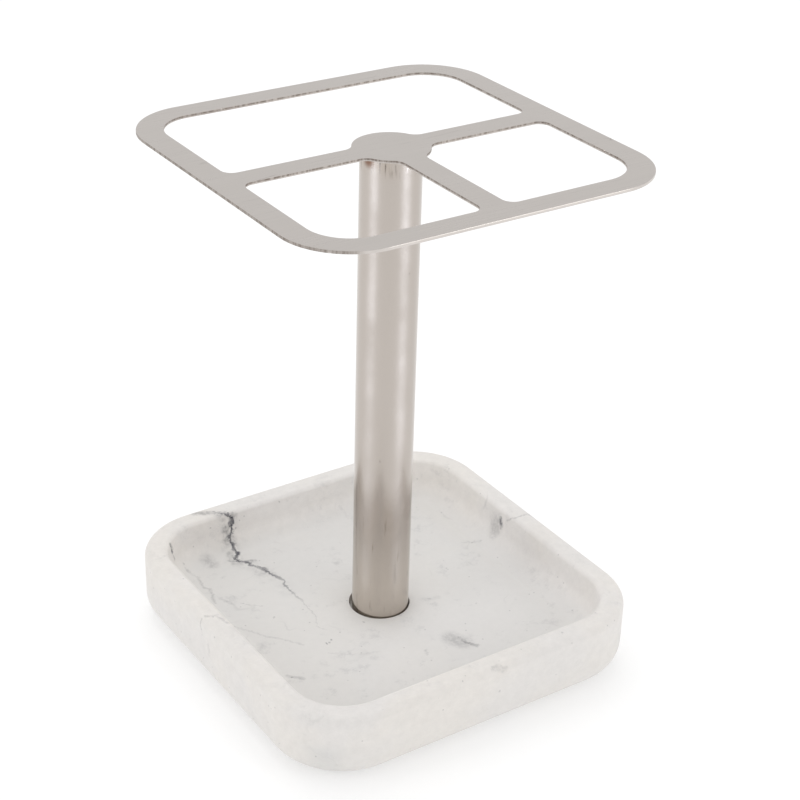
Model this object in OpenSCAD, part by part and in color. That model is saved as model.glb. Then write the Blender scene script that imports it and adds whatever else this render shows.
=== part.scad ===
// Counter stand for razors and brushes: a steel grid plate on a steel post in a cast stone tray.
// Origin: middle of the footprint, on the surface that the feet stand on. +Z is up.
// The plate's short bar points to the front, which is -Y.

/* [Tray] */
// Side of the square tray
tray_side = 109; // [100:1:120]
// Radius of the tray's four corners, seen from above
tray_corner_r = 21; // [18:1:26]
// Height of the tray casting, without the feet
tray_h = 20; // [19:1:26]
// Thickness of the casting under the dish
tray_floor_t = 9; // [8.5:0.5:10]
// Width of the rim, from the outside to the dish wall
rim_w = 6.5; // [5:0.5:8]
// Rounding of the rim's outer top edge
rim_outer_r = 1.5; // [0.5:0.5:2]
// Rounding of the rim's inner top edge
rim_inner_r = 1.5; // [0.5:0.5:2.5]
// Lean of the dish wall from the vertical, in degrees
dish_lean = 12; // [0:1:20]
// Radius where the dish wall runs into the dish floor
dish_fillet_r = 7; // [3:1:8]
// Rounding of the tray's lower outer edge
tray_foot_r = 7; // [3:1:9]

/* [Post] */
// Outer diameter of the post tube
post_d = 16; // [14:1:20]
// Wall thickness of the post tube
post_wall = 1; // [0.8:0.1:1.5]
// Depth of the socket in the tray that takes the post
socket_depth = 2.5; // [2:0.5:3]
// Gap all round between the post and its socket
socket_gap = 0.6; // [0.2:0.1:1]

/* [Plate] */
// Height of the plate's top face above the counter
stand_h = 147; // [120:1:180]
// Side of the square plate
plate_side = 103; // [90:1:120]
// Thickness of the plate
plate_t = 0.8; // [0.6:0.1:1.5]
// Radius of the plate's four corners
plate_corner_r = 18; // [14:1:24]
// Width of the plate's rim
plate_rim_w = 7; // [5:0.5:10]
// Width of the three bars between the openings
bar_w = 7; // [5:0.5:10]
// Diameter of the disc that covers the end of the post
hub_d = 20; // [18:1:26]
// Radius of the inside corner where a bar meets the rim
bar_end_r = 3; // [1:0.5:5]
// Radius of the inside corner where a bar meets the hub disc
hub_fillet_r = 3.5; // [2:0.5:5]
// Leg of the weld seam between the post and the plate
weld_leg = 0.4; // [0.3:0.1:0.8]

/* [Fixing] */
// Thread diameter of the fixing screw
screw_d = 5; // [4:1:6]
// Length of the screw under its head
screw_l = 12; // [10:1:13]
// Diameter of the screw's low head
screw_head_d = 10; // [9:0.5:12]
// Height of the screw's low head
screw_head_h = 2; // [1.5:0.5:2]
// Width across the flats of the hexagon socket in the head
hex_af = 3; // [2.5:0.5:4]
// Diameter of the flat washer
washer_d = 15; // [12:1:17]
// Thickness of the flat washer
washer_t = 1; // [0.8:0.1:1]
// Length of the threaded plug in the lower end of the post
plug_l = 10; // [9:1:16]

/* [Feet] */
// Diameter of a rubber foot
foot_d = 12; // [8:1:16]
// Thickness of a rubber foot
foot_t = 2; // [1.5:0.5:3]
// How far a foot stands out below the tray
foot_proud = 1; // [0.5:0.5:1]
// Distance of a foot's centre from the middle, along each side
foot_offset = 37; // [30:1:40]

/* [Hidden] */
$fn = 96;
// Segments in each rounded edge of the tray
arc_steps = 8;
// Overshoot of a cut past the face that it opens
cut = 1;
// How far a hub fillet's circle reaches into the hub disc, so that the two arcs cross
hub_overlap = 0.01;
tray_z = foot_proud;
tray_top_z = tray_z + tray_h;
floor_z = tray_z + tray_floor_t;
corner_axis = tray_side / 2 - tray_corner_r;
post_z = floor_z - socket_depth;
plate_z = stand_h - plate_t;
post_r = post_d / 2;
post_bore_r = post_r - post_wall;
recess_depth = screw_head_h + washer_t;
recess_r = washer_d / 2 + 1.5;
screw_clearance = 0.5;
washer_clearance = 0.25;
// The shank stands for the thread's outside, so it keeps clear of the plug's plain bore
thread_gap = 0.05;
plug_chamfer = 0.8;
hex_depth = 1.2;
foot_clearance = 0.15;
foot_edge_r = 0.5;

stone = "#e6e2de";
steel = "#c1bcb8";
rubber = "#3c3c3e";

function arc(cx, cy, r, a0, a1) =
    [for (i = [0:arc_steps]) let (a = a0 + (a1 - a0) * i / arc_steps) [cx + r * cos(a), cy + r * sin(a)]];

// Section of the solid tray: x runs outward from a corner's axis, y is the height
function block_section() = concat(
    [[0, tray_z]],
    arc(tray_corner_r - tray_foot_r, tray_z + tray_foot_r, tray_foot_r, -90, 0),
    arc(tray_corner_r - rim_outer_r, tray_top_z - rim_outer_r, rim_outer_r, 0, 90),
    [[0, tray_top_z]]);

// Section of the dish that is taken out, in the same axes. The leaning wall is the straight
// line between the two arcs, and it touches both.
function dish_section() =
    let (rim_x = tray_corner_r - rim_w + rim_inner_r,
         rim_y = tray_top_z - rim_inner_r,
         wall_x = rim_x - rim_inner_r * cos(dish_lean),
         wall_y = rim_y + rim_inner_r * sin(dish_lean),
         fillet_y = floor_z + dish_fillet_r,
         fillet_x = wall_x - (dish_fillet_r + sin(dish_lean) * (wall_y - fillet_y)) / cos(dish_lean))
    concat(
        [[0, floor_z]],
        arc(fillet_x, fillet_y, dish_fillet_r, -90, -dish_lean),
        arc(rim_x, rim_y, rim_inner_r, 180 - dish_lean, 90),
        [[rim_x, tray_top_z + cut], [0, tray_top_z + cut]]);

// Carries a section round the rounded square of the tray: four corners, four sides and the middle
module square_sweep(section, low_z, high_z) {
    for (turn = [0:90:270]) {
        rotate(turn) translate([corner_axis, corner_axis, 0]) {
            rotate_extrude(angle = 90) polygon(section);
            rotate([90, 0, 0]) linear_extrude(2 * corner_axis) polygon(section);
        }
    }
    translate([-corner_axis, -corner_axis, low_z])
        cube([2 * corner_axis, 2 * corner_axis, high_z - low_z]);
}

module at_foot(side_x, side_y) {
    translate([side_x * foot_offset, side_y * foot_offset, 0]) children();
}

module tray_base() {
    color(stone) difference() {
        square_sweep(block_section(), tray_z, tray_top_z);
        square_sweep(dish_section(), floor_z, tray_top_z + cut);
        // Socket for the post, clearance hole for the screw, and recess for its head and washer
        translate([0, 0, post_z]) cylinder(r = post_r + socket_gap, h = socket_depth + cut);
        cylinder(d = screw_d + 2 * screw_clearance, h = floor_z);
        translate([0, 0, tray_z - cut]) cylinder(r = recess_r, h = recess_depth + cut);
        for (side_x = [-1, 1], side_y = [-1, 1]) {
            at_foot(side_x, side_y) cylinder(d = foot_d + 2 * foot_clearance, h = foot_t);
        }
    }
}

module post_tube() {
    color(steel) translate([0, 0, post_z]) difference() {
        cylinder(r = post_r, h = plate_z - post_z);
        translate([0, 0, -cut]) cylinder(r = post_bore_r, h = plate_z - post_z + 2 * cut);
    }
}

// Turned plug, tapped for the screw and welded into the lower end of the post
module threaded_plug() {
    color(steel) translate([0, 0, post_z]) difference() {
        cylinder(r = post_bore_r, h = plug_l);
        translate([0, 0, -cut]) cylinder(d = screw_d, h = plug_l + 2 * cut);
        cylinder(r1 = screw_d / 2 + plug_chamfer, r2 = screw_d / 2, h = plug_chamfer);
    }
}

module weld_seam() {
    color(steel) translate([0, 0, plate_z - weld_leg]) rotate_extrude()
        translate([post_r, 0]) polygon([[0, 0], [weld_leg, weld_leg], [0, weld_leg]]);
}

module rounded_square(side, r) {
    square([side, side - 2 * r], center = true);
    square([side - 2 * r, side], center = true);
    for (side_x = [-1, 1], side_y = [-1, 1]) {
        translate([side_x, side_y] * (side / 2 - r)) circle(r);
    }
}

// One bar along +X, from the middle to the rim, with the fillets on its +Y edge
module half_bar() {
    rim_x = plate_side / 2 - plate_rim_w;
    edge_y = bar_w / 2;
    hub_x = sqrt(pow(hub_d / 2 + hub_fillet_r - hub_overlap, 2) - pow(edge_y + hub_fillet_r, 2));
    square([rim_x + plate_rim_w / 2, edge_y]);
    difference() {
        polygon([[0, 0], [hub_x, 0], [hub_x, edge_y + hub_fillet_r]]);
        translate([hub_x, edge_y + hub_fillet_r]) circle(hub_fillet_r);
    }
    difference() {
        translate([rim_x - bar_end_r, 0]) square([bar_end_r + plate_rim_w / 2, edge_y + bar_end_r]);
        translate([rim_x - bar_end_r, edge_y + bar_end_r]) circle(bar_end_r);
    }
}

// Three bars leave one large opening at the back and two small ones at the front
module top_plate() {
    bar_turns = [0, 180, 270];
    color(steel) translate([0, 0, plate_z]) linear_extrude(plate_t) {
        difference() {
            rounded_square(plate_side, plate_corner_r);
            rounded_square(plate_side - 2 * plate_rim_w, plate_corner_r - plate_rim_w);
        }
        circle(d = hub_d);
        for (turn = bar_turns, flip = [0, 1]) {
            rotate(turn) mirror([0, flip]) half_bar();
        }
    }
}

module fixing_screw() {
    hex_corner_d = hex_af / cos(30);
    color(steel) translate([0, 0, tray_z]) difference() {
        union() {
            cylinder(d = screw_head_d, h = screw_head_h);
            translate([0, 0, screw_head_h]) cylinder(d = screw_d - 2 * thread_gap, h = screw_l);
        }
        translate([0, 0, -cut]) cylinder(d = hex_corner_d, h = hex_depth + cut, $fn = 6);
    }
}

module flat_washer() {
    color(steel) translate([0, 0, tray_z + screw_head_h]) difference() {
        cylinder(d = washer_d, h = washer_t);
        translate([0, 0, -cut]) cylinder(d = screw_d + 2 * washer_clearance, h = washer_t + 2 * cut);
    }
}

// The foot's lower edge is rounded, so that it doesn't catch
module foot(side_x, side_y) {
    r = foot_d / 2;
    color(rubber) at_foot(side_x, side_y) rotate_extrude() polygon(concat(
        [[0, 0]],
        arc(r - foot_edge_r, foot_edge_r, foot_edge_r, -90, 0),
        [[r, foot_t], [0, foot_t]]));
}

tray_base();
post_tube();
threaded_plug();
weld_seam();
top_plate();
fixing_screw();
flat_washer();
foot(-1, -1);  // foot_front_left
foot(1, -1);  // foot_front_right
foot(-1, 1);  // foot_back_left
foot(1, 1);  // foot_back_right
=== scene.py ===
# %% [markdown]
# # A counter stand for razors and brushes
#
# The real stand has three parts that show: a square tray cast in stone-filled resin, a round steel
# post, and a flat steel plate with three openings, welded to the post's upper end. Under the tray
# are a screw, a washer and four rubber feet. Every piece here is put where the frame says, in
# metres, with +Z up and the front towards -Y.

# %% Load the frame
import math

import bmesh
import bpy
from mathutils import Matrix, Vector


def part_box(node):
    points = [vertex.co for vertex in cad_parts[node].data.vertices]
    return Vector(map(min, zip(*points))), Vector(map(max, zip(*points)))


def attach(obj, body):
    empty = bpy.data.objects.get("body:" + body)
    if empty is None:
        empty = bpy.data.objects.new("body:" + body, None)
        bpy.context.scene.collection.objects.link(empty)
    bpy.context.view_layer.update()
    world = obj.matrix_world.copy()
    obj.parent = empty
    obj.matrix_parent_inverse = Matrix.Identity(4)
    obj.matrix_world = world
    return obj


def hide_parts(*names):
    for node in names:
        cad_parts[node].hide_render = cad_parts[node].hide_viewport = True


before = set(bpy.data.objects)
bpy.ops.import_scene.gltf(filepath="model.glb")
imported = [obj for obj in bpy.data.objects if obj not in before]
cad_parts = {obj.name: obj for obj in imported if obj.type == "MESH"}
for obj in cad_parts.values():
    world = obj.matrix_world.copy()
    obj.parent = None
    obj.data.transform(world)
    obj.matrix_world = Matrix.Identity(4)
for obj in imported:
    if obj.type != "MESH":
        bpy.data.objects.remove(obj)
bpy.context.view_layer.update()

MM = 0.001

# %% [markdown]
# ## Small helpers for modelling
#
# Every operator in Blender acts on whatever is selected, and the frame's own pieces are selected
# after loading. So each new shape starts by deselecting everything. Faces and edges are selected by
# asking a question about their place or direction, because a script has no mouse to click with.

# %% Helpers for objects and selections
def alone(piece):
    """Makes one piece the only selected and active object."""
    bpy.ops.object.select_all(action="DESELECT")
    piece.select_set(True)
    bpy.context.view_layer.objects.active = piece


def open_up(piece):
    """Goes into edit mode on one piece."""
    alone(piece)
    bpy.ops.object.mode_set(mode="EDIT")


def close_up():
    """Goes back to object mode, which writes the edits to the mesh."""
    bpy.ops.object.mode_set(mode="OBJECT")


def settle(name):
    """Names the new primitive and moves its place and size into its mesh."""
    piece = bpy.context.active_object
    piece.name = piece.data.name = name
    bpy.ops.object.transform_apply(location=True, rotation=True, scale=True)
    return piece


def add_block(name, low, high):
    """A block between two opposite corners."""
    bpy.ops.object.select_all(action="DESELECT")
    bpy.ops.mesh.primitive_cube_add(size=1, location=(low + high) / 2, scale=high - low)
    return settle(name)


def add_rod(name, radius, low_z, high_z, x=0.0, y=0.0, sides=128):
    """An upright cylinder whose axis passes through (x, y)."""
    bpy.ops.object.select_all(action="DESELECT")
    middle = (x, y, (low_z + high_z) / 2)
    bpy.ops.mesh.primitive_cylinder_add(
        vertices=sides, radius=radius, depth=high_z - low_z, location=middle)
    return settle(name)


def pick(kind, test):
    """In edit mode, selects each "VERT", "EDGE" or "FACE" that passes the test."""
    mesh = bmesh.from_edit_mesh(bpy.context.object.data)
    bpy.ops.mesh.select_mode(type=kind)
    bpy.ops.mesh.select_all(action="DESELECT")
    parts = {"VERT": mesh.verts, "EDGE": mesh.edges, "FACE": mesh.faces}[kind]
    chosen = [part for part in parts if test(part)]
    for part in chosen:
        part.select_set(True)
    mesh.select_flush_mode()
    bmesh.update_edit_mesh(bpy.context.object.data)
    return len(chosen)


def upright(edge):
    """True for an edge that runs up rather than sideways."""
    a, b = (v.co for v in edge.verts)
    return abs(a.z - b.z) > 0.9 * (a - b).length


def level_at(z, tolerance=0.01 * MM):
    """A test that is true for what lies flat at one height."""
    return lambda part: all(abs(v.co.z - z) < tolerance for v in part.verts)


def bevel_picked(width, steps):
    """Rounds the selected edges. More steps make a smoother curve."""
    bpy.ops.mesh.bevel(offset=width, segments=steps, profile=0.5, affect="EDGES")


# %% [markdown]
# Holes are cut as a drill would cut them: the hole's shape is modelled as a solid, and a Boolean
# modifier takes it out of the piece. No real edge is perfectly sharp either, so a small bevel
# follows, which also gives each edge the thin highlight that makes it look real.

# %% Helpers for cutting and finishing
def cut_away(piece, cutter):
    """Takes the cutter's volume out of the piece, then throws the cutter away."""
    alone(piece)
    knife = piece.modifiers.new("cut", "BOOLEAN")
    knife.operation = "DIFFERENCE"
    knife.solver = "EXACT"
    knife.object = cutter
    bpy.ops.object.modifier_apply(modifier=knife.name)
    bpy.data.objects.remove(cutter)


def soften_edges(piece, width, steps=2, angle=35):
    """Rounds every edge that turns by more than the angle, as a file or a tumbler would."""
    alone(piece)
    bevel = piece.modifiers.new("soften", "BEVEL")
    bevel.width = width
    bevel.segments = steps
    bevel.limit_method = "ANGLE"
    bevel.angle_limit = math.radians(angle)
    bpy.ops.object.modifier_apply(modifier=bevel.name)


def smooth(piece, angle=30):
    """Smooth shading on curves, with the normals of big flat faces kept flat."""
    alone(piece)
    bpy.ops.object.shade_smooth_by_angle(angle=math.radians(angle))
    weights = piece.modifiers.new("flat faces first", "WEIGHTED_NORMAL")
    weights.keep_sharp = True
    bpy.ops.object.modifier_apply(modifier=weights.name)


def finish_piece(piece, cad_node, material):
    """Hangs the piece on the frame in place of its CAD node, and gives it its finish."""
    piece.data.materials.clear()
    piece.data.materials.append(material)
    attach(piece, "root")
    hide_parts(cad_node)
    triangles = sum(len(face.vertices) - 2 for face in piece.data.polygons)
    nodes = len(material.node_tree.nodes)
    print(f"{piece.name}: {triangles} triangles, a material of {nodes} nodes, stands for {cad_node}")


# %% [markdown]
# ## Small helpers for materials
#
# A material is a graph of nodes. `node` adds one and returns its output. Its inputs may be plain
# values or the outputs of other nodes, so a short line of Python reads like a line of the graph.

# %% Helpers for materials
def new_material(name):
    """An empty material with one Principled shader. Returns it, its tree and the shader."""
    material = bpy.data.materials.new(name)
    material.use_nodes = True
    tree = material.node_tree
    tree.nodes.clear()
    output = tree.nodes.new("ShaderNodeOutputMaterial")
    shader = tree.nodes.new("ShaderNodeBsdfPrincipled")
    tree.links.new(shader.outputs["BSDF"], output.inputs["Surface"])
    return material, tree, shader


def feed(tree, socket, value):
    """Links an output into a socket, or sets the socket to a plain value."""
    if isinstance(value, bpy.types.NodeSocket):
        tree.links.new(value, socket)
    else:
        socket.default_value = value


def node(tree, kind, inputs=None, output=0, **settings):
    """Adds a node, feeds its inputs by name or number, and returns one of its outputs."""
    made = tree.nodes.new("ShaderNode" + kind)
    for name, value in settings.items():
        setattr(made, name, value)
    for name, value in (inputs or {}).items():
        feed(tree, made.inputs[name], value)
    return made.outputs[output]


def calc(tree, operation, *values, clamp=False):
    """A sum, product or other operation on numbers."""
    return node(tree, "Math", dict(enumerate(values)), operation=operation, use_clamp=clamp)


def vector_calc(tree, operation, *values, output=0):
    """The same for places and directions, which have three numbers each."""
    return node(tree, "VectorMath", dict(enumerate(values)), output, operation=operation)


def remap(tree, value, low, high, to_low=0.0, to_high=1.0, smooth_step=True):
    """Moves a value from one range to another, and holds it at the ends."""
    inputs = {"Value": value, "From Min": low, "From Max": high, "To Min": to_low, "To Max": to_high}
    shape = "SMOOTHSTEP" if smooth_step else "LINEAR"
    return node(tree, "MapRange", inputs, interpolation_type=shape)


def mix_colour(tree, share, first, second, blend="MIX"):
    """Lays a share of the second colour over the first."""
    mixer = tree.nodes.new("ShaderNodeMix")
    mixer.data_type = "RGBA"
    mixer.blend_type = blend
    feed(tree, mixer.inputs[0], share)
    feed(tree, mixer.inputs[6], first)
    feed(tree, mixer.inputs[7], second)
    return mixer.outputs[2]


def place_on_piece(tree):
    """Where a point is on the piece, in metres. Every piece's own origin is the stand's origin."""
    return node(tree, "TexCoord", output="Object")


def grain(tree, place, size, detail=2.0, roughness=0.5, output="Fac"):
    """Noise whose blotches are about `size` metres across."""
    inputs = {"Vector": place, "Scale": 1 / size, "Detail": detail, "Roughness": roughness}
    return node(tree, "TexNoise", inputs, output)


def stretched(tree, place, x=1.0, y=1.0, z=1.0):
    """Scales the place along each axis: a small number stretches the pattern along that axis."""
    return node(tree, "Mapping", {"Vector": place, "Scale": (x, y, z)})


def colour(red, green, blue):
    """A colour as it is seen on a screen, 0 to 255, turned into the light values that shaders use."""
    def to_light(value):
        value /= 255
        return value / 12.92 if value <= 0.04045 else ((value + 0.055) / 1.055) ** 2.4
    return (to_light(red), to_light(green), to_light(blue), 1.0)


def bump(tree, height, depth, strength=1.0):
    """Turns a 0 to 1 pattern into relief that is `depth` metres deep."""
    inputs = {"Height": height, "Distance": depth, "Strength": strength}
    return node(tree, "Bump", inputs, output="Normal")


# %% [markdown]
# ## Cast stone
#
# The tray is polyester resin filled with white marble dust. Grey pigment is dribbled into the mould,
# so the veins run through the casting as thin, ragged sheets, with a soft grey cloud beside them
# where the pigment bled. An even noise can't place a vein, so the strong one is drawn as a curve:
# for each depth from front to back, it says how far to the side the vein lies. Small marks are short
# strokes between two points. Noise then pushes every line about, so that none looks ruled.

# %% Nodes that draw lines
SOFT_EDGE = 1.3


def drawn_curve(tree, value, points):
    """A curve through (in, out) points that are joined by straight lines."""
    ins, outs = zip(*points)
    low, high = min(outs), max(outs)
    made = tree.nodes.new("ShaderNodeFloatCurve")
    line = made.mapping.curves[0]
    scaled = [((x - ins[0]) / (ins[-1] - ins[0]), (y - low) / (high - low)) for x, y in points]
    line.points[0].location, line.points[-1].location = scaled[0], scaled[-1]
    for place in scaled[1:-1]:
        line.points.new(*place)
    for point in line.points:
        point.handle_type = "VECTOR"
    made.mapping.update()
    feed(tree, made.inputs["Value"], remap(tree, value, ins[0], ins[-1], smooth_step=False))
    return remap(tree, made.outputs[0], 0, 1, low, high, smooth_step=False)


def line_distance_group():
    """A node group: how far a point is from the straight line between two others."""
    group = bpy.data.node_groups.new("distance_to_stroke", "ShaderNodeTree")
    for name in ("Place", "Start", "End"):
        group.interface.new_socket(name=name, in_out="INPUT", socket_type="NodeSocketVector")
    group.interface.new_socket(name="Distance", in_out="OUTPUT", socket_type="NodeSocketFloat")
    given = group.nodes.new("NodeGroupInput").outputs
    along = vector_calc(group, "SUBTRACT", given["End"], given["Start"])
    away = vector_calc(group, "SUBTRACT", given["Place"], given["Start"])
    length_squared = vector_calc(group, "DOT_PRODUCT", along, along, output="Value")
    reached = vector_calc(group, "DOT_PRODUCT", away, along, output="Value")
    share = calc(group, "DIVIDE", reached, length_squared, clamp=True)
    nearest = node(group, "VectorMath", {0: along, "Scale": share}, operation="SCALE")
    distance = vector_calc(group, "DISTANCE", away, nearest, output="Value")
    group.links.new(distance, group.nodes.new("NodeGroupOutput").inputs[0])
    return group


def stroke(tree, group, place, start, end, width, darkness):
    """A soft-edged stroke between two points. The points and the width are in millimetres."""
    made = tree.nodes.new("ShaderNodeGroup")
    made.node_tree = group
    feed(tree, made.inputs["Place"], place)
    made.inputs["Start"].default_value = Vector(start) * MM
    made.inputs["End"].default_value = Vector(end) * MM
    return remap(tree, made.outputs[0], width * SOFT_EDGE * MM, 0, 0, darkness)


# %% [markdown]
# The long vein starts at the back rim, runs down the dish's wall, and crosses the floor towards the
# front. It is dark and wide on the wall, and thins out on the floor. The numbers in the next cell
# are millimetres from the tray's middle, apart from the darkness, which goes from 0 to 1.

# %% Where the pigment went
VEIN_SIDE = [
    (-6, -18), (-4, -20), (-1, -21.5), (3, -19.5), (9, -19), (15, -19), (21, -19), (23, -18),
    (27, -19.5), (32, -20.5), (35, -22.5), (36, -22), (38, -24), (40, -25), (42, -23), (43.5, -23.5),
    (44.5, -23), (46, -23.5), (47.5, -21.5), (48, -22.5), (49, -25), (51, -26), (52, -29), (55, -31),
]
VEIN_DARKNESS = [
    (-6, 0), (-3, 0.12), (6, 0.18), (12, 0.2), (17, 0.5), (21, 0.6), (24, 0.5), (30, 0.85), (33, 0.55),
    (36, 0.8), (39, 1), (44, 0.9), (48, 1), (49.5, 0.5), (51, 0.6), (53, 0.3), (54.2, 0), (55, 0),
]
FLOOR_Z = 10
RIM_Z = 21
DOT = 0.05


def trail(width, darkness, *points):
    """Splits a line of points into strokes. One point alone makes a dot."""
    points = [point if len(point) == 3 else (*point, FLOOR_Z) for point in points]
    if len(points) == 1:
        points.append(tuple(value + DOT for value in points[0]))
    return [(start, end, width, darkness) for start, end in zip(points, points[1:])]


BACK_LEFT_MARKS = [
    trail(1.5, 0.45, (-31, 52.5, RIM_Z), (-24, 48.5, 20.7)),
    trail(0.8, 1, (-44.2, 43.2, 20), (-43.9, 42.4, 18)),
    trail(0.5, 0.5, (-43.9, 42.4, 18), (-43.4, 41.6, 15.5)),
    trail(0.6, 0.26, (-40.2, 42.3, 12.5), (-40, 40, 11), (-38.5, 37), (-39.5, 32), (-38.5, 30),
          (-40.5, 23)),
    trail(0.3, 0.3, (-34, 19.5), (-32.5, 17.5), (-29.5, 15)),
    trail(0.7, 0.2, (-37.8, 24.5), (-36.3, 20.3)),
    trail(2.4, 0.3, (-32.8, 42.5, 11), (-31.8, 41, 10.5)),
]
LEFT_WALL_MARKS = [
    trail(0.5, 0.17, (-47, 18, 18), (-41, 10), (-35.5, 2), (-29, -6.5)),
    trail(0.5, 0.1, (-25, -13.5), (-22, -16), (-18.5, -18), (-13, -20)),
    trail(0.45, 0.35, (-54.2, 5.5, 20.5), (-54.5, 4.8, 17.5)),
    trail(0.6, 0.26, (-52.5, 5.5, RIM_Z), (-50, 4.5, RIM_Z), (-49.5, 1.5, RIM_Z), (-49, 0, RIM_Z)),
    trail(0.8, 0.13, (-54.5, 0.8, 15), (-54.5, 0.4, 12)),
]
SMALL_MARKS = [
    trail(0.45, 0.75, (-29.7, 8.5)),
    trail(0.4, 0.6, (-23.3, -9.4)),
    trail(0.4, 0.65, (-22.3, -9.5)),
    trail(0.4, 0.6, (-21.3, -8.7)),
    trail(0.42, 0.75, (-9.5, -6)),
    trail(1, 0.3, (17, 25.6), (19.3, 25.2)),
    trail(0.5, 0.45, (12.7, -6)),
    trail(1.2, 0.12, (11, -5.5), (15, -7)),
    trail(0.4, 0.3, (23, -15)),
    trail(0.45, 0.55, (25, -50.8, RIM_Z)),
    trail(0.4, 0.45, (-5.5, 47.7, 19.5)),
]
FRONT_MARKS = [
    trail(0.9, 0.6, (9.3, -26), (9.6, -28.5), (11, -31.2)),
    trail(3.2, 0.32, (7.2, -25), (8.6, -28.5)),
    trail(0.5, 0.22, (-2, -26), (-3, -28)),
    trail(0.9, 0.24, (0.2, -53.4, 20.5), (3.4, -54, 19.8)),
    trail(0.45, 0.3, (2, -54.5, 13.5)),
]
RIGHT_WALL_MARKS = [
    trail(1.1, 0.85, (47.2, 7.6, 17.8), (46.8, 6.4, 16)),
    trail(3, 0.32, (47, 8.8, 16.5), (46.2, 8.5, 14.5)),
    trail(0.7, 0.2, (37.5, 13), (42.3, 10.3, 10.5)),
    trail(0.45, 0.3, (47.6, 4.7, 19), (48.5, 2, RIM_Z), (53.3, 1.5, RIM_Z), (53.7, -0.8, 20.8)),
]
FLOOR_MARKS = [
    trail(0.55, 0.6, (-39.2, -17.4)),
    trail(0.9, 0.25, (-40, -16.1), (-36.8, -19.3)),
    trail(0.8, 0.6, (-24.2, 38.6), (-22, 37)),
    trail(0.9, 0.5, (-22, 37), (-20.5, 36.5)),
]
TRAILS = BACK_LEFT_MARKS + LEFT_WALL_MARKS + SMALL_MARKS + FRONT_MARKS + RIGHT_WALL_MARKS + FLOOR_MARKS
STROKES = sum(TRAILS, [])
print(len(STROKES), "strokes of pigment besides the long vein")


# %% [markdown]
# The stone is built up as the casting is. First the place itself is pushed about by noise of three
# sizes, so that every line drawn with it comes out ragged. Then come the long vein with its grey
# bleed, the strokes, and the faint veins, smudges and specks, which are noise. They add up to one
# value, the pigment, and that mixes a warm white ground with blue-grey.

# %% Veins and strokes
def ridges(tree, place, size, half_width):
    """Thin lines where a noise crosses its middle value: the look of hairline veins."""
    value = grain(tree, place, size, detail=3, roughness=0.45)
    off_middle = calc(tree, "ABSOLUTE", calc(tree, "SUBTRACT", value, 0.5))
    return remap(tree, off_middle, 0, half_width, 1, 0)


def ragged_place(tree, place):
    """The place with noise added to it. What is drawn with it gets ragged outlines."""
    ragged = place
    for size, push in ((5 * MM, 1.6 * MM), (1.3 * MM, 1.5 * MM), (0.5 * MM, 0.7 * MM)):
        wander = grain(tree, place, size, detail=3, roughness=0.6, output="Color")
        centred = vector_calc(tree, "SUBTRACT", wander, (0.5, 0.5, 0.5))
        pushed = vector_calc(tree, "MULTIPLY", centred, (push, push, push))
        ragged = vector_calc(tree, "ADD", ragged, pushed)
    return ragged


def long_vein(tree, place, ragged):
    """Returns the vein's dark core, and the core together with the cloud beside it."""
    in_mm = vector_calc(tree, "MULTIPLY", ragged, (1 / MM, 1 / MM, 1 / MM))
    side, depth, _ = (node(tree, "SeparateXYZ", {0: in_mm}, output=axis) for axis in range(3))
    off_vein = calc(tree, "SUBTRACT", side, drawn_curve(tree, depth, VEIN_SIDE))
    darkness = drawn_curve(tree, depth, VEIN_DARKNESS)
    swell = remap(tree, grain(tree, place, 2.2 * MM, detail=3), 0.35, 0.65, 0.45, 1.3)
    half_width = calc(tree, "MULTIPLY", swell, calc(tree, "ADD", darkness, 0.2))
    core = remap(tree, calc(tree, "DIVIDE", calc(tree, "ABSOLUTE", off_vein), half_width), 1.1, 0.1)
    core = calc(tree, "MULTIPLY", core, darkness)
    bleed_reach = calc(tree, "ABSOLUTE", calc(tree, "ADD", off_vein, 0.8))
    bleed = remap(tree, bleed_reach, 4, 0.2, 0, 0.6)
    bleed = calc(tree, "MULTIPLY", bleed, calc(tree, "POWER", darkness, 3))
    bleed = calc(tree, "MULTIPLY", bleed, remap(tree, grain(tree, place, 3 * MM, detail=4), 0.35, 0.65))
    return core, calc(tree, "MAXIMUM", core, bleed)


# %% [markdown]
# The ground between the veins isn't one colour. It is cloudy over centimetres and mottled over
# millimetres, and low in the dish it is painted a little greyer, as painted shade in the hollow.
# The outer faces are cleaner than the dish, so the faint marks are held back there.

# %% Faint marks, ground and the finished stone
SPECK_SPACING = 1.6 * MM
OUTER_FACE = 53 * MM
DISH_SIDE = 49 * MM
PAINTED_SHADE_TOP = (FLOOR_Z + 4) * MM
WARM_WHITE = colour(229, 225, 220)
STONE_WHITE = colour(227, 224, 221)
# The grey of the painted shade low in the dish.
DISH_PAINTED_SHADE = colour(214, 213, 211)
PIGMENT_GREY = colour(64, 64, 74)


def faint_marks(tree, place):
    """Broad faint veins, hairlines and smudges. Returns them, and the specks apart."""
    faint = calc(tree, "MULTIPLY", ridges(tree, place, 30 * MM, 0.014),
                 remap(tree, grain(tree, place, 24 * MM), 0.52, 0.7, 0, 0.16))
    hair = calc(tree, "MULTIPLY", ridges(tree, place, 13 * MM, 0.02),
                remap(tree, grain(tree, place, 11 * MM, detail=1), 0.56, 0.72, 0, 0.09))
    smudges = remap(tree, grain(tree, place, 7 * MM, detail=6, roughness=0.75), 0.54, 0.76, 0, 0.2)
    cells = {"Vector": place, "Scale": 1 / SPECK_SPACING}
    from_middle = node(tree, "TexVoronoi", cells, output="Distance")
    random_value = node(tree, "SeparateColor", {0: node(tree, "TexVoronoi", cells, output="Color")})
    specks = calc(tree, "MULTIPLY", remap(tree, random_value, 0.06, 0.05, 0, 0.24),
                  remap(tree, from_middle, 0.2, 0.1))
    return calc(tree, "ADD", calc(tree, "ADD", faint, hair), smudges), specks


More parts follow.
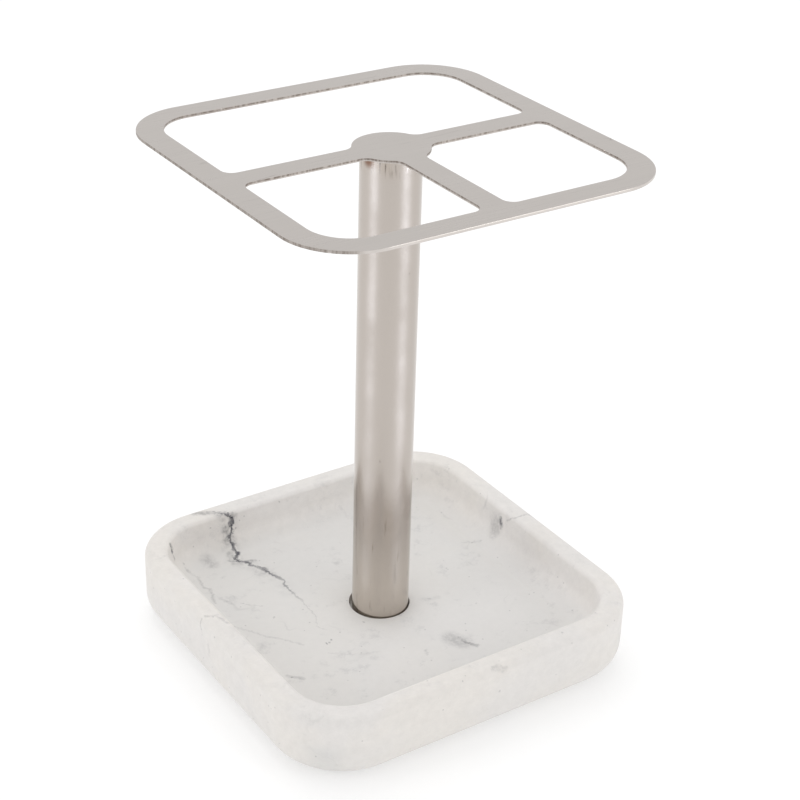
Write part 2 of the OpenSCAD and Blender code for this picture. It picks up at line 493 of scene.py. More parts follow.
def inside_rim(tree, place):
    """1 within the dish, and nearly 0 on the tray's outer faces, which come out cleaner."""
    spread = vector_calc(tree, "ABSOLUTE", place)
    across, along, _ = (node(tree, "SeparateXYZ", {0: spread}, output=axis) for axis in range(3))
    return remap(tree, calc(tree, "MAXIMUM", across, along), OUTER_FACE, DISH_SIDE, 0.12, 1)


def stone_ground(tree, place, within):
    """The colour between the veins: cloudy, finely mottled, and with painted shade low in the dish."""
    cloud = remap(tree, grain(tree, place, 28 * MM, detail=4), 0.38, 0.62)
    ground = mix_colour(tree, cloud, WARM_WHITE, STONE_WHITE)
    fine = grain(tree, place, 2.5 * MM, detail=6, roughness=0.75)
    shade = remap(tree, fine, 0.3, 0.7, 0.95, 1.035, smooth_step=False)
    ground = mix_colour(tree, 1.0, ground, shade, blend="MULTIPLY")
    height = node(tree, "SeparateXYZ", {0: place}, output="Z")
    # Painted shade: the dish floor and the foot of its walls are mixed towards grey.
    dish_shade_share = remap(tree, height, PAINTED_SHADE_TOP, FLOOR_Z * MM, 0, 0.6)
    return mix_colour(tree, calc(tree, "MULTIPLY", dish_shade_share, within), ground, DISH_PAINTED_SHADE)


def cast_stone():
    """The tray's finish: white ground, veins and specks, and an uneven satin polish."""
    material, tree, shader = new_material("cast_stone")
    place = place_on_piece(tree)
    ragged = ragged_place(tree, place)
    core, pigment = long_vein(tree, place, ragged)
    group = line_distance_group()
    for mark in STROKES:
        pigment = calc(tree, "MAXIMUM", pigment, stroke(tree, group, ragged, *mark))
    patchy = remap(tree, grain(tree, place, 1.1 * MM, detail=4), 0.32, 0.6, 0.45, 1)
    pigment = calc(tree, "MULTIPLY", pigment, patchy)
    pigment = calc(tree, "MAXIMUM", pigment, calc(tree, "MULTIPLY", core, 0.85))
    within = inside_rim(tree, place)
    streaks, specks = faint_marks(tree, place)
    for layer in (calc(tree, "MULTIPLY", streaks, within), specks):
        pigment = calc(tree, "ADD", pigment, layer, clamp=True)
    ground = stone_ground(tree, place, within)
    feed(tree, shader.inputs["Base Color"], mix_colour(tree, pigment, ground, PIGMENT_GREY))
    polish = grain(tree, place, 6 * MM, detail=4)
    feed(tree, shader.inputs["Roughness"], remap(tree, polish, 0.3, 0.7, 0.42, 0.56))
    feed(tree, shader.inputs["Normal"], bump(tree, grain(tree, place, 0.7 * MM, detail=4), 0.012 * MM))
    shader.inputs["Specular IOR Level"].default_value = 0.35
    return material


# %% [markdown]
# ## Brushed steel
#
# Brushing leaves fine scratches side by side. On the plate they run straight from left to right, and
# on the tube they run round it, because it turned against the belt. A noise that is stretched along
# the scratches gives their colour, gloss and relief. The shader's anisotropy then spreads each
# highlight across the scratches: its tangent is the direction in which the light smears.

# %% Brushed steel
BRUSH_WIDTH = 0.09 * MM
SCRATCH_GREY = colour(120, 114, 108)
# The grey of the laser-burnt cut edges, also used as painted shade on the plate's outer edge.
BURN_AND_SHADE_GREY = colour(134, 124, 117)


def brushed(name, along, smear, tint, gloss, anisotropy):
    """Steel with scratches. `along` stretches the pattern, `smear` points across the scratches."""
    material, tree, shader = new_material(name)
    place = place_on_piece(tree)
    streaks = stretched(tree, place, *along)
    fine = grain(tree, streaks, BRUSH_WIDTH, detail=3, roughness=0.6)
    broad = grain(tree, streaks, 8 * BRUSH_WIDTH, detail=3, roughness=0.6)
    both = calc(tree, "ADD", calc(tree, "MULTIPLY", fine, 0.65), calc(tree, "MULTIPLY", broad, 0.35))
    shade = remap(tree, both, 0.35, 0.65, 0.955, 1.04, False)
    metal = mix_colour(tree, 1.0, tint, shade, blend="MULTIPLY")
    cloudy = remap(tree, grain(tree, place, 14 * MM, detail=3), 0.3, 0.7, -0.025, 0.035, False)
    rough = calc(tree, "ADD", remap(tree, both, 0.3, 0.7, gloss - 0.04, gloss + 0.06, False), cloudy)
    shader.inputs["Metallic"].default_value = 1.0
    shader.inputs["Anisotropic"].default_value = anisotropy
    feed(tree, shader.inputs["Tangent"], node(tree, "CombineXYZ", dict(enumerate(smear))))
    feed(tree, shader.inputs["Normal"], bump(tree, both, 0.004 * MM, 0.6))
    return material, tree, shader, place, metal, rough


def plate_steel(top_z):
    """The plate also has a few handling scratches, cut edges that the laser left dark, and painted shade
    on the outer edge where it faces left.
    """
    parts = brushed("plate_steel", (0.006, 1, 1), (0, 1, 0), colour(207, 201, 196), 0.3, 0.35)
    material, tree, shader, place, metal, rough = parts
    for turn, size in ((0.5, 21 * MM), (-0.7, 33 * MM)):
        turned = node(tree, "Mapping", {"Vector": place, "Rotation": (0, 0, turn), "Scale": (0.05, 1, 1)})
        line = ridges(tree, turned, size, 0.0012)
        here = remap(tree, grain(tree, place, 12 * MM, detail=1), 0.56, 0.62, 0, 0.35)
        metal = mix_colour(tree, calc(tree, "MULTIPLY", line, here), metal, SCRATCH_GREY)

    facing = node(tree, "TexCoord", output="Normal")
    to_side, _, up = (node(tree, "SeparateXYZ", {0: facing}, output=axis) for axis in range(3))
    edge = remap(tree, calc(tree, "ABSOLUTE", up), 0.6, 0.3)
    spread = vector_calc(tree, "ABSOLUTE", place)
    across, along, height = (node(tree, "SeparateXYZ", {0: spread}, output=axis) for axis in range(3))
    inside = remap(tree, calc(tree, "MAXIMUM", across, along), 47 * MM, 46 * MM)
    # The outer edge gets painted shade on the side that faces left, a painted dark reflection; inside the
    # openings the cut edges are dark from the laser.
    left = remap(tree, to_side, -0.3, -0.55, 0, 0.9)
    lip = remap(tree, height, top_z - 0.6 * MM, top_z - 0.35 * MM, 0.3, 1)
    lines = grain(tree, stretched(tree, place, 1, 1, 0.1), 0.6 * MM, detail=4)
    lines = remap(tree, lines, 0.35, 0.65, 0.55, 1)
    outer = calc(tree, "MULTIPLY", left, calc(tree, "SUBTRACT", 1, inside))
    where = calc(tree, "MAXIMUM", calc(tree, "MULTIPLY", inside, lip), outer)
    burnt_and_shaded = calc(tree, "MULTIPLY", calc(tree, "MULTIPLY", edge, where), lines)
    # One grey darkens both: laser burn on the cut edges, and painted shade on the outer edge's left side.
    feed(tree, shader.inputs["Base Color"], mix_colour(tree, burnt_and_shaded, metal, BURN_AND_SHADE_GREY))
    feed(tree, shader.inputs["Roughness"], calc(tree, "ADD", rough, calc(tree, "MULTIPLY", burnt_and_shaded, 0.25)))
    return material


# %% [markdown]
# Welding the plate to the post left marks that nobody polished away: a brown spot, short dark drips
# and a faint straw tint below the seam. Near the tray, water left faint runs, and the tube's lower
# end is painted lighter, a painted reflection of the pale dish. Each is a mask, made from the height
# or from the distance to a point, that mixes another colour into the steel.

# %% Post steel, with marks from the welding
HEAT_BROWN = colour(122, 88, 68)
STRAW_TINT = colour(172, 156, 138)
DRIP_GREY = colour(84, 76, 68)
RUN_GREY = colour(104, 96, 86)
# The pale colour of the painted reflection on the tube's lower end.
PAINTED_REFLECTION_TINT = colour(216, 207, 196)
HEAT_SPOT = (-7.8 * MM, -1.6 * MM, 145.2 * MM)


def post_steel(weld_z):
    """Steel brushed round the tube, with heat tint, drips and spots, and a painted reflection low down.
    """
    parts = brushed("post_steel", (1, 1, 12), (0, 0, 1), colour(187, 179, 172), 0.15, 0.5)
    material, tree, shader, place, metal, rough = parts
    height = node(tree, "SeparateXYZ", {0: place}, output="Z")
    below_weld = calc(tree, "SUBTRACT", weld_z, height)
    near = remap(tree, below_weld, 7 * MM, 0, 0, 0.3)
    uneven = remap(tree, grain(tree, place, 5 * MM, detail=3), 0.4, 0.65, 0.2, 1)
    metal = mix_colour(tree, calc(tree, "MULTIPLY", near, uneven), metal, STRAW_TINT)
    from_spot = vector_calc(tree, "DISTANCE", place, HEAT_SPOT, output="Value")
    metal = mix_colour(tree, remap(tree, from_spot, 2.6 * MM, 0.5 * MM, 0, 0.85), metal, HEAT_BROWN)
    drips = grain(tree, stretched(tree, place, 1, 1, 0.12), 0.75 * MM, detail=3)
    drip_end = remap(tree, below_weld, 5.5 * MM, 0.5 * MM, 0, 0.8)
    drips = calc(tree, "MULTIPLY", remap(tree, drips, 0.51, 0.68), drip_end)
    metal = mix_colour(tree, drips, metal, DRIP_GREY)
    # Painted reflection: the tube is mixed lighter towards its lower end, where it reflects the pale
    # dish.
    reflection_share = remap(tree, height, 46 * MM, 16 * MM)
    metal = mix_colour(tree, calc(tree, "MULTIPLY", reflection_share, 0.45), metal, PAINTED_REFLECTION_TINT)
    runs = grain(tree, stretched(tree, place, 1, 1, 0.16), 1.5 * MM, detail=3)
    run_top = remap(tree, height, 55 * MM, 35 * MM)
    runs = calc(tree, "MULTIPLY", remap(tree, runs, 0.62, 0.76, 0, 0.4), run_top)
    spots = grain(tree, stretched(tree, place, 1, 1, 0.6), 2.4 * MM, detail=4)
    spots = remap(tree, spots, 0.71, 0.76, 0, 0.3)
    metal = mix_colour(tree, calc(tree, "MAXIMUM", runs, spots), metal, RUN_GREY)
    feed(tree, shader.inputs["Base Color"], metal)
    feed(tree, shader.inputs["Roughness"], calc(tree, "ADD", rough, calc(tree, "MULTIPLY", drips, 0.2)))
    return material


# %% [markdown]
# ## Turned steel
#
# The screw, washer and plug are turned on a lathe, so their scratches are circles. A noise that
# reads only the distance from the axis gives rings, and a radial tangent turns the shine with them.

# %% Turned steel
def fastener_steel():
    """Bright steel with the fine rings that a lathe leaves."""
    material, tree, shader = new_material("fastener_steel")
    place = place_on_piece(tree)
    flat = stretched(tree, place, 1, 1, 0)
    radius = vector_calc(tree, "LENGTH", flat, output="Value")
    rings = grain(tree, node(tree, "CombineXYZ", {0: radius}), 0.12 * MM, detail=4)
    shade = remap(tree, rings, 0.3, 0.7, 0.9, 1.05, False)
    metal = mix_colour(tree, 1.0, colour(203, 203, 205), shade, blend="MULTIPLY")
    feed(tree, shader.inputs["Base Color"], metal)
    shader.inputs["Metallic"].default_value = 1.0
    shader.inputs["Anisotropic"].default_value = 0.4
    cloudy = grain(tree, place, 3 * MM, detail=4)
    feed(tree, shader.inputs["Roughness"], remap(tree, cloudy, 0.3, 0.7, 0.16, 0.28))
    feed(tree, shader.inputs["Tangent"], node(tree, "Tangent", direction_type="RADIAL", axis="Z"))
    feed(tree, shader.inputs["Normal"], bump(tree, rings, 0.006 * MM, 0.7))
    return material


# %% [markdown]
# ## Rubber
#
# The feet are moulded rubber with a fine pebbled skin and a dusty bloom. A Voronoi pattern gives the
# pebbles, because its cells touch like grains, and slow noise gives the bloom.

# %% Foot rubber
def foot_rubber():
    """Matt black rubber with fine pebbles and a pale bloom."""
    material, tree, shader = new_material("foot_rubber")
    place = place_on_piece(tree)
    pebbles = node(tree, "TexVoronoi", {"Vector": place, "Scale": 1 / (0.35 * MM)}, output="Distance")
    bloom = remap(tree, grain(tree, place, 4 * MM, detail=4), 0.4, 0.7)
    skin = mix_colour(tree, bloom, colour(46, 46, 48), colour(62, 61, 61))
    feed(tree, shader.inputs["Base Color"], skin)
    feed(tree, shader.inputs["Roughness"], remap(tree, bloom, 0, 1, 0.62, 0.8))
    feed(tree, shader.inputs["Normal"], bump(tree, pebbles, 0.03 * MM, 0.8))
    return material


# %% [markdown]
# ## The tray
#
# The tray is one casting. It starts as a block. The four upright edges are beveled into the big
# corners, the top face is inset to leave the rim, and the inner face is pushed down to make the
# dish. Then each ring of edges gets its own rounding: a wide one underneath and round the dish
# floor, a narrow one on both sides of the rim. A bevel's width is measured along the faces, so where
# the faces meet at other than a right angle, the width comes from the radius and that angle.

# %% Model the tray
TRAY_CORNER = 21 * MM
RIM_WIDTH = 6.5 * MM
OUTER_RIM_ROUNDING = 2 * MM
INNER_RIM_RADIUS = 1.5 * MM
FOOT_ROUNDING = 7 * MM
DISH_FLOOR = FLOOR_Z * MM
DISH_FILLET = 7 * MM
DISH_LEAN = math.radians(12)
CORNER_STEPS = 20
FILLET_STEPS = 12
RIM_STEPS = 6

tray_low, tray_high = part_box("tray_base")
dish_depth = tray_high.z - DISH_FLOOR
dish_half = tray_high.x - RIM_WIDTH


def bevel_width(radius, lean=0.0):
    """The bevel width that gives this radius where a wall leans out of square."""
    return radius / math.tan((math.pi / 2 + lean) / 2)


def at_rim(least, most):
    """A test for edges at the tray's top, by how far the wall beside them tilts upwards."""
    def test(edge):
        beside_wall = any(least < face.normal.z < most for face in edge.link_faces)
        return beside_wall and level_at(tray_high.z)(edge)
    return test


tray = add_block("marble_tray", tray_low, tray_high)
open_up(tray)
pick("EDGE", upright)
bevel_picked(TRAY_CORNER, CORNER_STEPS)

pick("FACE", level_at(tray_high.z))
bpy.ops.mesh.inset(thickness=RIM_WIDTH)
bpy.ops.mesh.extrude_region_move(TRANSFORM_OT_translate={"value": (0, 0, -dish_depth)})
shrink = (dish_half - dish_depth * math.tan(DISH_LEAN)) / dish_half
bpy.ops.transform.resize(value=(shrink, shrink, 1), center_override=(0, 0, 0))

pick("EDGE", level_at(DISH_FLOOR))
bevel_picked(bevel_width(DISH_FILLET, DISH_LEAN), FILLET_STEPS)
print("inner rim edges:", pick("EDGE", at_rim(0.1, 0.9)))
bevel_picked(bevel_width(INNER_RIM_RADIUS, DISH_LEAN), RIM_STEPS)
print("outer rim edges:", pick("EDGE", at_rim(-0.1, 0.1)))
bevel_picked(OUTER_RIM_ROUNDING, RIM_STEPS)
pick("EDGE", level_at(tray_low.z))
bevel_picked(FOOT_ROUNDING, FILLET_STEPS)
close_up()

# %% [markdown]
# The socket for the post, the hole for the screw, and the recesses underneath are drilled with
# cylinders as cutters. The socket is a little wider than the post and not quite in the middle, so
# the gap round the post is wider on one side, as it is when a stand is put together by hand.

# %% Drill the tray
SOCKET_GAP = 0.6 * MM
SOCKET_CENTRE = (-0.12 * MM, 0.25 * MM)
MOUTH_ROUNDING = 0.12 * MM
SCREW_HOLE_RADIUS = 3 * MM
WASHER_GAP = 1.5 * MM
FOOT_GAP = 0.15 * MM
OVERLAP = 1 * MM
FEET = ["foot_front_left", "foot_front_right", "foot_back_left", "foot_back_right"]

post_low, post_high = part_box("post_tube")
washer_low, washer_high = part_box("flat_washer")
post_radius = post_high.x

under = tray_low.z - OVERLAP
cut_away(tray, add_rod("socket", post_radius + SOCKET_GAP, post_low.z, tray_high.z, *SOCKET_CENTRE))
cut_away(tray, add_rod("screw_hole", SCREW_HOLE_RADIUS, under, post_low.z + OVERLAP, sides=64))
cut_away(tray, add_rod("screw_recess", washer_high.x + WASHER_GAP, under, washer_high.z))
for foot_node in FEET:
    foot_low, foot_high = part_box(foot_node)
    foot_mid = (foot_low + foot_high) / 2
    recess_radius = foot_high.x - foot_mid.x + FOOT_GAP
    recess = add_rod("foot_recess", recess_radius, 0, foot_high.z, foot_mid.x, foot_mid.y, sides=96)
    cut_away(tray, recess)


def at_socket_mouth(edge):
    near = all(v.co.xy.length < post_radius + 2.5 * SOCKET_GAP for v in edge.verts)
    return near and level_at(DISH_FLOOR)(edge) and edge.calc_length() > MOUTH_ROUNDING


open_up(tray)
print("edges round the socket's mouth:", pick("EDGE", at_socket_mouth))
bevel_picked(MOUTH_ROUNDING, 2)
close_up()
smooth(tray)
finish_piece(tray, "tray_base", cast_stone())

# %% [markdown]
# ## The post
#
# A tube is a cylinder whose ends are inset by the wall's thickness. The two inner faces are then
# deleted, and a bridge between the two open rings makes the bore. One function makes the post, the
# tapped plug, the washer and later the weld, because all are the same shape in other sizes.

# %% Model the tubes
def add_tube(name, outer, bore, low_z, high_z, softening, sides=128):
    """A tube between two radii and two heights, with softened edges."""
    tube = add_rod(name, outer, low_z, high_z, sides=sides)
    open_up(tube)
    pick("FACE", lambda face: abs(face.normal.z) > 0.9)
    bpy.ops.mesh.inset(thickness=outer - bore, use_individual=True)
    bpy.ops.mesh.delete(type="FACE")
    pick("EDGE", lambda edge: len(edge.link_faces) == 1)
    bpy.ops.mesh.bridge_edge_loops()
    bpy.ops.mesh.select_all(action="SELECT")
    bpy.ops.mesh.normals_make_consistent(inside=False)
    close_up()
    soften_edges(tube, softening)
    return tube


POST_WALL = 1 * MM
TAP_RADIUS = 2.5 * MM
WASHER_HOLE_RADIUS = 2.75 * MM

plate_low, plate_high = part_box("top_plate")
plug_low, plug_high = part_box("threaded_plug")
tube_finish = post_steel(plate_low.z)
turned_finish = fastener_steel()

post = add_tube("steel_post", post_radius, post_radius - POST_WALL, post_low.z, post_high.z, 0.15 * MM)
smooth(post)
finish_piece(post, "post_tube", tube_finish)

plug = add_tube("tapped_plug", plug_high.x, TAP_RADIUS, plug_low.z, plug_high.z, 0.4 * MM, sides=96)
smooth(plug)
finish_piece(plug, "threaded_plug", turned_finish)

washer = add_tube("wide_washer", washer_high.x, WASHER_HOLE_RADIUS, washer_low.z, washer_high.z,
                  0.12 * MM, sides=96)
smooth(washer)
finish_piece(washer, "flat_washer", turned_finish)

# %% [markdown]
# ## The plate
#
# The plate is cut from sheet. Its openings have straight sides that run into arcs of different
# radii, so each outline is drawn the way a metalworker scribes it: a single point is extruded along
# straight lines and spun about the centre of each arc. The closed outline becomes a cutter.

# %% A scriber for outlines
DEGREES_PER_STEP = 5

cutter_z = plate_low.z - OVERLAP


def scribe(name, start, moves, height):
    """Draws a closed outline from lines and arcs, fills it and extrudes it upwards.

    A line names the point where it ends. An arc names its centre and its degrees, which are
    positive where it turns left."""
    bpy.ops.object.select_all(action="DESELECT")
    bpy.ops.mesh.primitive_plane_add(size=1 * MM, location=(start[0], start[1], cutter_z))
    outline = settle(name)
    open_up(outline)
    bpy.ops.mesh.select_mode(type="VERT")
    bpy.ops.mesh.select_all(action="SELECT")
    bpy.ops.mesh.merge(type="CENTER")
    here = Vector(start)
    for move in moves:
        if move[0] == "line":
            there = Vector(move[1:])
            step = there - here
            bpy.ops.mesh.extrude_region_move(TRANSFORM_OT_translate={"value": (step.x, step.y, 0)})
        else:
            centre, degrees = Vector(move[1:3]), move[3]
            steps = max(4, round(abs(degrees) / DEGREES_PER_STEP))
            bpy.ops.mesh.spin(steps=steps, angle=-math.radians(degrees),
                              center=(centre.x, centre.y, cutter_z), axis=(0, 0, 1))
            there = centre + Matrix.Rotation(math.radians(degrees), 2) @ (here - centre)
        here = there
    print(name, "closes within", (here - Vector(start)).length)
    bpy.ops.mesh.select_all(action="SELECT")
    bpy.ops.mesh.remove_doubles(threshold=0.005 * MM)
    bpy.ops.mesh.edge_face_add()
    bpy.ops.mesh.select_all(action="SELECT")
    bpy.ops.mesh.extrude_region_move(TRANSFORM_OT_translate={"value": (0, 0, height)})
    bpy.ops.mesh.select_all(action="SELECT")
    bpy.ops.mesh.normals_make_consistent(inside=False)
    close_up()
    return outline


# %% [markdown]
# Four driving sizes give both outlines: the rim's width, the bars' width, the hub's radius, and the
# fillet where a bar meets the hub. That fillet touches the bar's side and the hub's circle, so the
# distance from the middle to its centre is the sum of the two radii, and a right triangle gives the
# rest. The two front openings mirror each other, so one cutter is a mirrored copy.

# %% Draw the openings and cut the plate
PLATE_CORNER = 18 * MM
PLATE_CORNER_STEPS = 24
PLATE_RIM = 7 * MM
BAR_HALF = 3.5 * MM
HUB_RADIUS = 10 * MM
HUB_FILLET = 3.5 * MM
BAR_END_RADIUS = 3 * MM
CUT_EDGE_ROUNDING = 0.1 * MM
QUARTER = 90

inner = plate_high.x - PLATE_RIM
inner_corner = PLATE_CORNER - PLATE_RIM
far = inner - inner_corner
bar_stop = inner - BAR_END_RADIUS
bar_top = BAR_HALF + BAR_END_RADIUS
reach = BAR_HALF + HUB_FILLET
hub_x = math.sqrt((HUB_RADIUS + HUB_FILLET) ** 2 - reach ** 2)
lean = math.degrees(math.atan2(reach, hub_x))
turn_in = QUARTER - lean

back_moves = [
    ("line", bar_stop, BAR_HALF), ("arc", bar_stop, bar_top, QUARTER),
    ("line", inner, far), ("arc", far, far, QUARTER),
    ("line", -far, inner), ("arc", -far, far, QUARTER),
    ("line", -inner, bar_top), ("arc", -bar_stop, bar_top, QUARTER),
    ("line", -hub_x, BAR_HALF), ("arc", -hub_x, reach, turn_in),
    ("arc", 0, 0, -(180 - 2 * lean)), ("arc", hub_x, reach, turn_in),
]
right_moves = [
    ("line", BAR_HALF, -bar_stop), ("arc", bar_top, -bar_stop, QUARTER),
    ("line", far, -inner), ("arc", far, -far, QUARTER),
    ("line", inner, -bar_top), ("arc", bar_stop, -bar_top, QUARTER),
    ("line", hub_x, -BAR_HALF), ("arc", hub_x, -reach, turn_in),
    ("arc", 0, 0, -(QUARTER - 2 * lean)), ("arc", reach, -hub_x, turn_in),
]
cutter_height = plate_high.z - plate_low.z + 2 * OVERLAP
back_cutter = scribe("back_opening", (hub_x, BAR_HALF), back_moves, cutter_height)
right_cutter = scribe("right_opening", (BAR_HALF, -hub_x), right_moves, cutter_height)

left_cutter = right_cutter.copy()
left_cutter.data = right_cutter.data.copy()
bpy.context.collection.objects.link(left_cutter)
open_up(left_cutter)
bpy.ops.mesh.select_all(action="SELECT")
bpy.ops.transform.resize(value=(-1, 1, 1), center_override=(0, 0, 0))
bpy.ops.mesh.normals_make_consistent(inside=False)
close_up()

plate = add_block("grid_plate", plate_low, plate_high)
open_up(plate)
pick("EDGE", upright)
bevel_picked(PLATE_CORNER, PLATE_CORNER_STEPS)
close_up()
for cutter in (back_cutter, right_cutter, left_cutter):
    cut_away(plate, cutter)
soften_edges(plate, CUT_EDGE_ROUNDING)
smooth(plate)
finish_piece(plate, "top_plate", plate_steel(plate_high.z))

# %% [markdown]
# ## The fixing screw
#
# A low-head screw comes up through the washer and the tray into the post's plug, and clamps the
# three together. The head is a cylinder, the shank is extruded from its inset top face, and a
# six-sided rod cuts the socket for the key. The thread is cut last: the shank's wall is sliced into
# rings, and each point is then moved inwards by as much as a helix says at its height and angle.

# %% Model the screw
PITCH = 0.8 * MM
THREAD_DEPTH = 0.4 * MM
RINGS_PER_TURN = 6
HEAD_HEIGHT = 2 * MM
HEX_ACROSS = 3 * MM
HEX_DEPTH = 1.2 * MM
SHANK_RADIUS = 2.45 * MM
THREAD_END_GAP = 0.3 * MM
ON_WALL = 0.02 * MM


def cut_thread(piece, at_radius, low_z, high_z):
    """Slices a round wall into rings, then moves each of its points inwards along a helix."""
    def off_wall(point):
        return abs(point.xy.length - at_radius) > ON_WALL

    def along_shank(edge):
        past_ends = any(v.co.z < low_z - MM or v.co.z > high_z + MM for v in edge.verts)
        return upright(edge) and not past_ends and not any(off_wall(v.co) for v in edge.verts)

    open_up(piece)
    print(piece.name, "has its thread cut along", pick("EDGE", along_shank), "edges")
    bpy.ops.mesh.subdivide(number_cuts=round((high_z - low_z) / PITCH * RINGS_PER_TURN))
    close_up()
    for vertex in piece.data.vertices:
        if off_wall(vertex.co):
            continue
        turn = math.atan2(vertex.co.y, vertex.co.x) / (2 * math.pi)
        phase = (vertex.co.z / PITCH - turn) % 1
        runout = min(1, max(0, min(vertex.co.z - low_z, high_z - vertex.co.z) / PITCH))
        groove = THREAD_DEPTH * (1 - abs(2 * phase - 1)) * runout
        vertex.co.xy *= (at_radius - groove) / at_radius


screw_low, screw_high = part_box("fixing_screw")
head_top = screw_low.z + HEAD_HEIGHT
screw = add_rod("low_head_screw", screw_high.x, screw_low.z, head_top, sides=48)
open_up(screw)
pick("FACE", lambda face: face.normal.z > 0.9)
bpy.ops.mesh.inset(thickness=screw_high.x - SHANK_RADIUS)
bpy.ops.mesh.extrude_region_move(TRANSFORM_OT_translate={"value": (0, 0, screw_high.z - head_top)})
close_up()
hex_radius = HEX_ACROSS / 2 / math.cos(math.pi / 6)
cut_away(screw, add_rod("hexagon", hex_radius, screw_low.z - OVERLAP, screw_low.z + HEX_DEPTH, sides=6))
soften_edges(screw, 0.2 * MM, steps=3)
cut_thread(screw, SHANK_RADIUS, head_top + THREAD_END_GAP, screw_high.z - THREAD_END_GAP)
smooth(screw, angle=50)
finish_piece(screw, "fixing_screw", turned_finish)

# %% [markdown]
# ## The weld
#
# A thin bead joins the plate to the post. A welder lays it in small pools that overlap as they
# cool, so it isn't a perfect ring. It starts as a tube of many sides, and the points on its outside
# are drawn in by a short ripple round the ring, with a slow wave on top.

# %% Model the weld seam
POOLS = 38
POOL_DEPTH = 0.05 * MM
SLOW_WAVE = 0.03 * MM
NEAR_POST = 0.1 * MM

seam_low, seam_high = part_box("weld_seam")
seam = add_tube("weld_ring", seam_high.x, post_radius, seam_low.z, seam_high.z, 0.13 * MM, sides=180)


def ripple(turn):
    """How far the bead's skin lies inside its widest circle at this angle."""
    return POOL_DEPTH * abs(math.sin(turn * POOLS / 2)) + SLOW_WAVE * math.sin(turn * 3) ** 2


for vertex in seam.data.vertices:
    radius = vertex.co.xy.length
    if radius > post_radius + NEAR_POST:
        share = (radius - post_radius) / (seam_high.x - post_radius)
        drawn_in = share * ripple(math.atan2(vertex.co.y, vertex.co.x))
        vertex.co.xy *= (radius - drawn_in) / radius
smooth(seam)
finish_piece(seam, "weld_seam", tube_finish)

# %% [markdown]
# ## The feet
#
# Four rubber pads keep the stone off the counter. One pad is modelled, with a rounded lower edge and
# a shallow dimple that makes it grip. The others are copies, each with its own mesh, and each is
# moved to its recess.

# %% Model the feet
FOOT_EDGE = 0.5 * MM
DIMPLE_MARGIN = 1.4 * MM
DIMPLE_DEPTH = 0.25 * MM

foot_low, foot_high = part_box(FEET[0])
foot_mid = (foot_low + foot_high) / 2
foot_radius = foot_high.x - foot_mid.x
first_foot = add_rod("pad_front_left", foot_radius, foot_low.z, foot_high.z, foot_mid.x, foot_mid.y,
                     sides=96)
open_up(first_foot)
pick("EDGE", level_at(foot_low.z))
bevel_picked(FOOT_EDGE, 5)
pick("FACE", lambda face: face.normal.z < -0.99 and len(face.verts) > 4)
bpy.ops.mesh.inset(thickness=DIMPLE_MARGIN)
bpy.ops.mesh.inset(thickness=DIMPLE_DEPTH, depth=-DIMPLE_DEPTH)
close_up()
smooth(first_foot)

rubber = foot_rubber()
for foot_node in FEET:
    foot = first_foot
    if foot_node != FEET[0]:
        foot = first_foot.copy()
        foot.data = first_foot.data.copy()
        foot.name = foot.data.name = foot_node.replace("foot", "pad")
        bpy.context.collection.objects.link(foot)
        open_up(foot)
        bpy.ops.mesh.select_all(action="SELECT")
        bpy.ops.transform.translate(value=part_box(foot_node)[0] - foot_low)
        close_up()
    finish_piece(foot, foot_node, rubber)

# %% [markdown]
# ## Floor and sky
#
# A pale floor and an even white sky give soft light from everywhere, which suits pale stone. The
# floor also glows a little of its own, so that it stays white round the stand and lights the tray's
# lower edges from below.

# %% Floor and sky
FLOOR_PAINT = (0.66, 0.66, 0.66, 1)
FLOOR_GLOW = 0.38
SKY_STRENGTH = 0.82
WHITE = (1, 1, 1, 1)

bpy.ops.object.select_all(action="DESELECT")
bpy.ops.mesh.primitive_circle_add(vertices=96, radius=12, fill_type="NGON", location=(0, 0, 0))
floor = settle("studio_floor")
floor_paint, _, floor_shader = new_material("floor_paint")
floor_shader.inputs["Base Color"].default_value = FLOOR_PAINT
floor_shader.inputs["Roughness"].default_value = 0.9
floor_shader.inputs["Specular IOR Level"].default_value = 0.0
floor_shader.inputs["Emission Color"].default_value = WHITE
floor_shader.inputs["Emission Strength"].default_value = FLOOR_GLOW
floor.data.materials.append(floor_paint)

world = bpy.data.worlds.new("studio")
bpy.context.scene.world = world
world.use_nodes = True
sky = world.node_tree.nodes["Background"]
sky.inputs["Color"].default_value = WHITE
sky.inputs["Strength"].default_value = SKY_STRENGTH
bpy.context.scene.view_settings.view_transform = "Standard"
print("sky strength", SKY_STRENGTH, "and floor glow", FLOOR_GLOW)

# %% [markdown]
# ## Softboxes
#
# Steel shows what stands around it. Two long softboxes, one on each side, draw a bright band down
# each side of the tube, and a weak one lights the plate's front edge. Strips that are strong enough
# for that would wash out the stone, so light linking lets them reach the steel only. The stone has
# a softbox of its own, high up behind it, which keeps its front faces a shade darker than its rim.

# %% Softboxes
def towards(azimuth, elevation):
    """The direction that lies `azimuth` degrees to the right of the front, and so many degrees up."""
    azimuth, elevation = math.radians(azimuth), math.radians(elevation)
    level = math.cos(elevation)
    return Vector((math.sin(azimuth) * level, -math.cos(azimuth) * level, math.sin(elevation)))


def softbox(name, azimuth, elevation, distance, width, height, power, lit=None, tint=(1, 1, 1)):
    """An area light that faces the stand and that no camera sees. `lit` names all that it reaches."""
    lamp = bpy.data.lights.new(name, "AREA")
    lamp.shape = "RECTANGLE"
    lamp.size, lamp.size_y = width, height
    lamp.energy = power
    lamp.color = tint
    box = bpy.data.objects.new(name, lamp)
    bpy.context.collection.objects.link(box)
    box.visible_camera = False
    if lit:
        box.light_linking.receiver_collection = lit
    outward = towards(azimuth, elevation)
    turn = outward.to_track_quat("Z", "Y").to_matrix().to_4x4()
    box.matrix_world = Matrix.Translation(outward * distance) @ turn


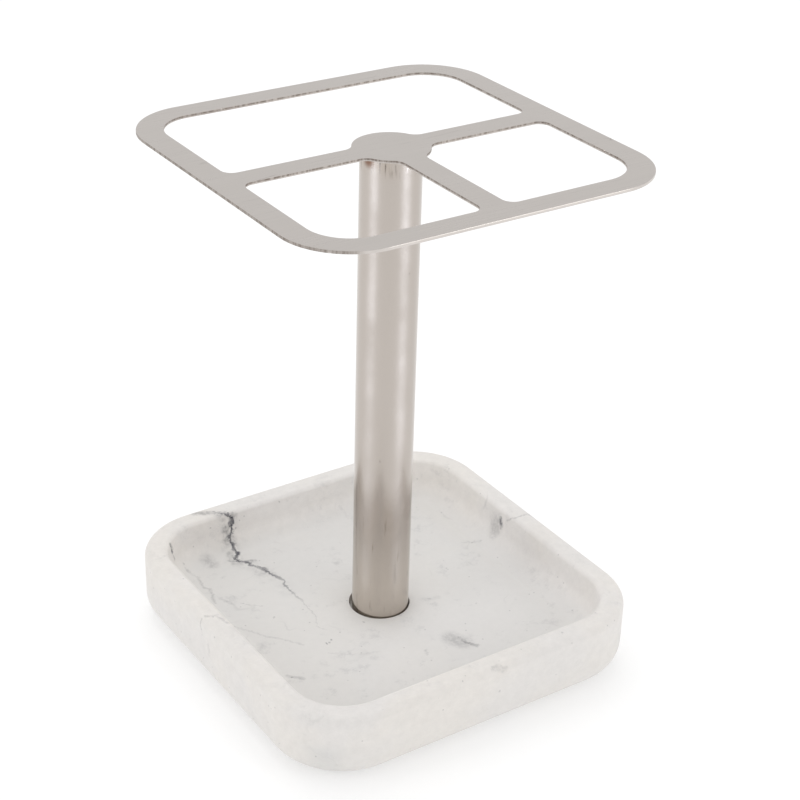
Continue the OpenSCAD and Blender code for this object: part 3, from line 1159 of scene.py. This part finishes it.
def only(name, *pieces):
    """A collection that a light is linked to, so that it reaches these pieces alone."""
    chosen = bpy.data.collections.new(name)
    for piece in pieces:
        chosen.objects.link(piece)
    return chosen


COOL_WHITE = (0.8, 0.87, 1.0)
BIG = {"width": 0.8, "height": 0.8, "distance": 1.2}
SMALL = {"width": 0.3, "height": 0.4, "distance": 1}
STRIP = {"width": 1.5, "height": 0.5, "distance": 3}
EDGE_STRIP = {"width": 1.1, "height": 0.5, "distance": 3}

post_only = only("post_only", post, seam)
plate_only = only("plate_only", plate)
steel_only = only("steel_only", plate, post, seam)
stone_only = only("stone_only", tray, floor)

softbox("steel_softbox", azimuth=-20, elevation=75, power=1.9, lit=steel_only, **BIG)
softbox("stone_softbox", azimuth=165, elevation=72, power=2.75, lit=stone_only, **BIG)
softbox("left_softbox", azimuth=-100, elevation=25, power=0.8, **SMALL)
softbox("right_softbox", azimuth=30, elevation=25, power=0.85, **SMALL)
softbox("left_strip", azimuth=-92, elevation=5, power=290, lit=post_only, tint=COOL_WHITE, **STRIP)
softbox("right_strip", azimuth=26, elevation=5, power=440, lit=post_only, tint=COOL_WHITE, **STRIP)
softbox("edge_strip", azimuth=36, elevation=4, power=9, lit=plate_only, **EDGE_STRIP)
print(len(bpy.data.lights), "softboxes")

# %% [markdown]
# ## Camera
#
# The camera looks down on the stand from the front left, with a long lens from half a metre away,
# and is rolled by a degree or two. Its direction is given as seen from the stand, so the camera is
# turned to look back along it, and then rolled.

# %% Camera
ROLL = math.radians(1.7)
DISTANCE = 0.484
LENS = 81.6
SENSOR_WIDTH = 36
AIM = Vector((0.0033, -0.0022, 0.0753))

camera_data = bpy.data.cameras.new("camera")
camera_data.sensor_width = SENSOR_WIDTH
camera_data.lens = LENS
camera = bpy.data.objects.new("camera", camera_data)
bpy.context.collection.objects.link(camera)
back = towards(azimuth=-34.2, elevation=28.7)
turned = back.to_track_quat("Z", "Y").to_matrix() @ Matrix.Rotation(ROLL, 3, "Z")
camera.matrix_world = Matrix.Translation(AIM + back * DISTANCE) @ turned.to_4x4()
bpy.context.scene.camera = camera
print("camera at", tuple(round(value, 3) for value in camera.matrix_world.translation))
